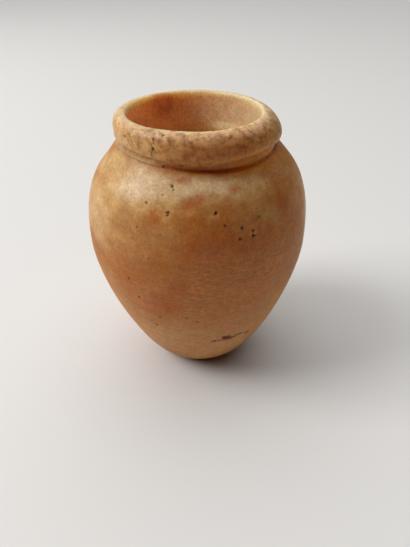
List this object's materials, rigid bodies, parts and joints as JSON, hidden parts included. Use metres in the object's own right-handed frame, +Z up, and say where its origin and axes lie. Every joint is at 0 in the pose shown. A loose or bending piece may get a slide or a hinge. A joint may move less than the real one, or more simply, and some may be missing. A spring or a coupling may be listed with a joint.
{
  "type": "alabaster vase",
  "caption": "Small hand-carved stone vase with an egg-shaped body, flat foot, grooved neck and thick rolled rim, hollow inside; it stands on a surface and holds small things.",
  "frame": {"origin": "under the middle of the body, in the plane of the foot's underside", "axes": "+Z up along the vase's axis, -Y towards the viewer of the picture, +X to the viewer's right"},
  "size_m": [0.064, 0.064, 0.0805],
  "materials": {
    "alabaster": "worn satin polish with pits, stains and dirt"
  },
  "bodies": {
    "root": {"alabaster_jar": "alabaster"}
  },
  "joints": []
}
